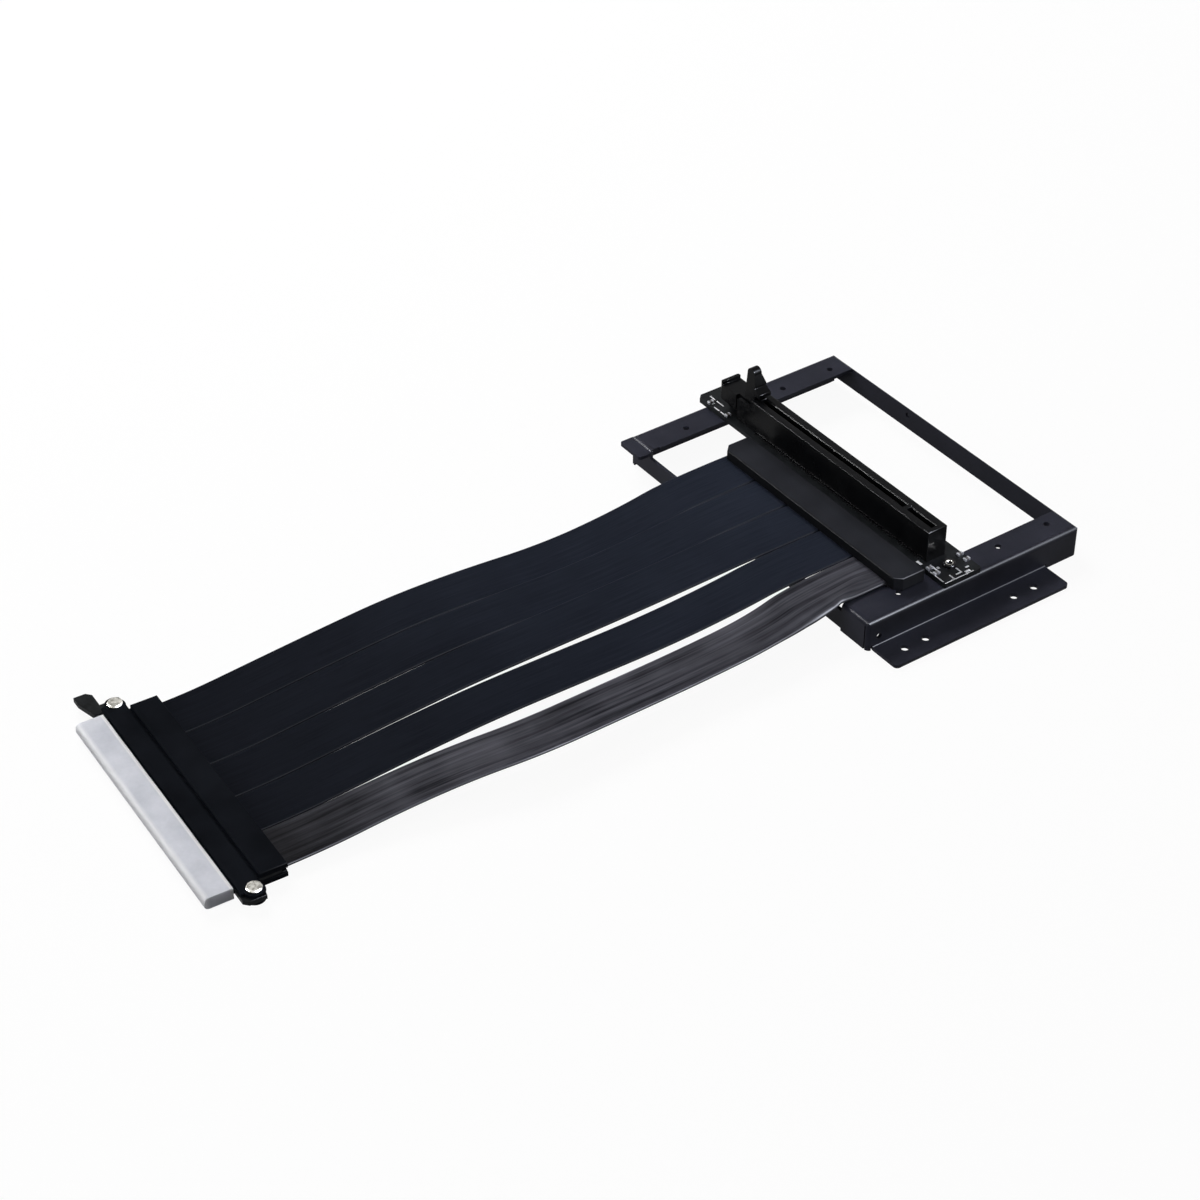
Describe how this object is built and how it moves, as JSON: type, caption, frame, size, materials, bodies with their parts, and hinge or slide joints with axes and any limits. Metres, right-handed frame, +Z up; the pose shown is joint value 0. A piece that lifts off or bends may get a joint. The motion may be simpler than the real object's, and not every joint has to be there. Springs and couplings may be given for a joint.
{
  "type": "riser cable with slot bracket",
  "caption": "Flat five-strip riser cable with a card-edge plug at one end and a card slot on a folded sheet-metal mounting bracket at the other.",
  "frame": {"origin": "midway between the foot's two outer screw holes, on the foot's underside", "axes": "+X along the bars towards the open window, +Y along the card slot to its latch, +Z up"},
  "size_m": [0.3058, 0.1386, 0.0335],
  "materials": {
    "bracket_paint": "satin",
    "board": "satin",
    "slot_plastic": "satin",
    "cover_plastic": "matte",
    "ribbon": "satin",
    "gold": "polished",
    "steel": "polished",
    "chip": "satin",
    "guard": "matte"
  },
  "bodies": {
    "riser": {"bracket_frame": "bracket_paint", "slot_board": "board", "slot_housing": "slot_plastic", "slot_contacts_front": "gold", "slot_contacts_rear": "gold", "board_screws": "steel", "board_parts": "chip", "cable_cover_top": "cover_plastic", "cable_cover_bottom": "cover_plastic", "plug_board": "board", "plug_fingers_top": "gold", "plug_fingers_bottom": "gold", "plug_shell_top": "cover_plastic", "plug_shell_bottom": "cover_plastic", "plug_rivets": "steel", "ribbon_strip_1": "ribbon", "ribbon_strip_2": "ribbon", "ribbon_strip_3": "ribbon", "ribbon_strip_4": "ribbon", "ribbon_strip_5": "ribbon"},
    "latch": {"slot_latch": "slot_plastic"},
    "guard": {"finger_guard": "guard"}
  },
  "joints": [
    {"name": "latch_swing", "type": "hinge", "parent": "riser", "child": "latch", "pos_m": [0.0005, 0.1118, 0.017], "axis": [-1, 0, 0], "range_deg": [0, 10]},
    {"name": "guard_pull", "type": "slide", "parent": "riser", "child": "guard", "axis": [-0.9981, 0.061, 0], "range_m": [0, 0.012]}
  ]
}
